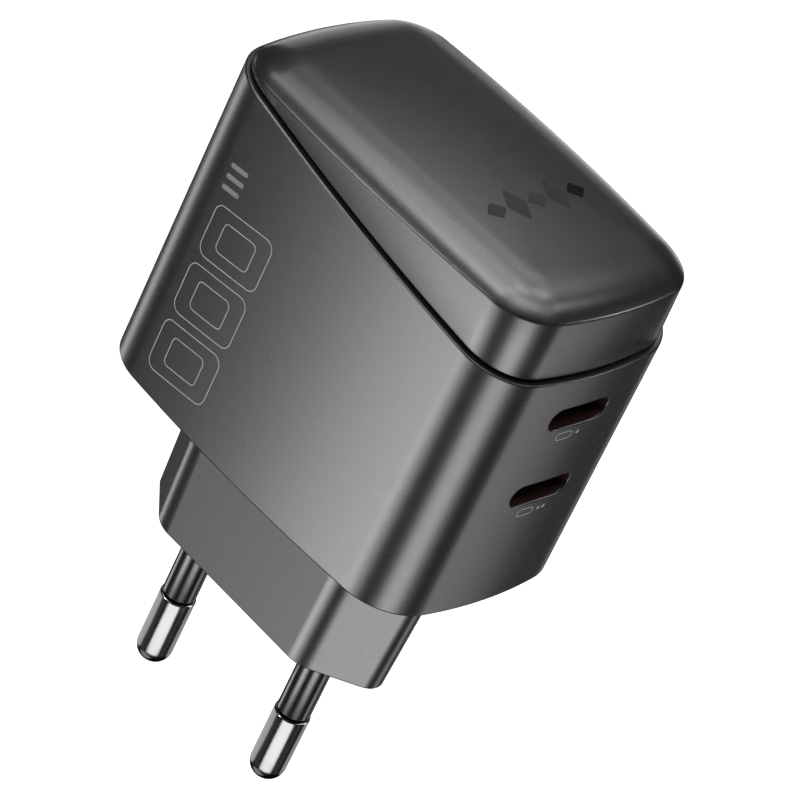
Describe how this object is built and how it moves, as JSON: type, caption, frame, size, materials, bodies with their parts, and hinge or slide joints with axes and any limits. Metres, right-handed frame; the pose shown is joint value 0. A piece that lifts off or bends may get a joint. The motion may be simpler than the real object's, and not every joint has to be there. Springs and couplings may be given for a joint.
{
  "type": "usb wall charger",
  "caption": "Compact wall charger: rounded box body with a slanted domed cover, six-sided plug block with round sleeved pins, and USB-C ports on one end.",
  "frame": {"origin": "centre of the plug block's flat face, which meets the wall socket", "axes": "+Z away from the socket, towards the domed cover; +X towards the end with the two USB-C ports; -Y towards the long front side, so that the pins lie side by side along X"},
  "size_m": [0.0462, 0.0296, 0.0763],
  "materials": {
    "housing_plastic": "satin moulded polycarbonate, dark charcoal",
    "cover_plastic": "satin moulded polycarbonate, dark charcoal",
    "sleeve_plastic": "glossy black moulded sleeve",
    "pin_metal": "nickel-plated brass, polished",
    "contact_brass": "stamped brass strip",
    "shell_steel": "nickel-plated stamped steel",
    "tongue_plastic": "black liquid-crystal polymer",
    "board_laminate": "green solder mask on glass epoxy",
    "ferrite": "sintered ferrite, dull",
    "bobbin_plastic": "black phenolic",
    "copper_wire": "enamelled copper wire",
    "can_sleeve": "dark blue shrink sleeve",
    "can_metal": "drawn aluminium can",
    "fuse_body": "ceramic fuse body",
    "thermistor_coat": "dark green dipped coating",
    "ceramic_coat": "blue dipped coating",
    "film_case": "yellow plastic case",
    "chip_epoxy": "black moulded epoxy",
    "plate_metal": "rolled aluminium sheet",
    "pad_rubber": "grey silicone gap filler",
    "sheet_film": "pale insulating board"
  },
  "bodies": {
    "root": {"main_housing": "housing_plastic", "plug_block": "housing_plastic", "top_cover": "cover_plastic", "pin_left": "pin_metal", "pin_right": "pin_metal", "pin_sleeve_left": "sleeve_plastic", "pin_sleeve_right": "sleeve_plastic", "pin_contact_left": "contact_brass", "pin_contact_right": "contact_brass", "usb_c_shell_1": "shell_steel", "usb_c_shell_2": "shell_steel", "usb_c_tongue_1": "tongue_plastic", "usb_c_tongue_2": "tongue_plastic", "main_board": "board_laminate", "port_board": "board_laminate", "transformer_core_rear": "ferrite", "transformer_core_front": "ferrite", "transformer_bobbin": "bobbin_plastic", "transformer_winding": "copper_wire", "choke_core": "ferrite", "choke_winding_a": "copper_wire", "choke_winding_b": "copper_wire", "bulk_capacitor_1": "can_sleeve", "bulk_capacitor_2": "can_sleeve", "bulk_capacitor_3": "can_sleeve", "output_capacitor_1": "can_metal", "output_capacitor_2": "can_metal", "input_fuse": "fuse_body", "inrush_thermistor": "thermistor_coat", "y_capacitor": "ceramic_coat", "x_capacitor": "film_case", "output_inductor": "ferrite", "bridge_rectifier": "chip_epoxy", "gan_switch": "chip_epoxy", "controller_chip": "chip_epoxy", "optocoupler": "chip_epoxy", "sync_rectifier": "chip_epoxy", "port_controller": "chip_epoxy", "heat_plate": "plate_metal", "thermal_pad": "pad_rubber", "insulation_sheet": "sheet_film"}
  },
  "joints": []
}
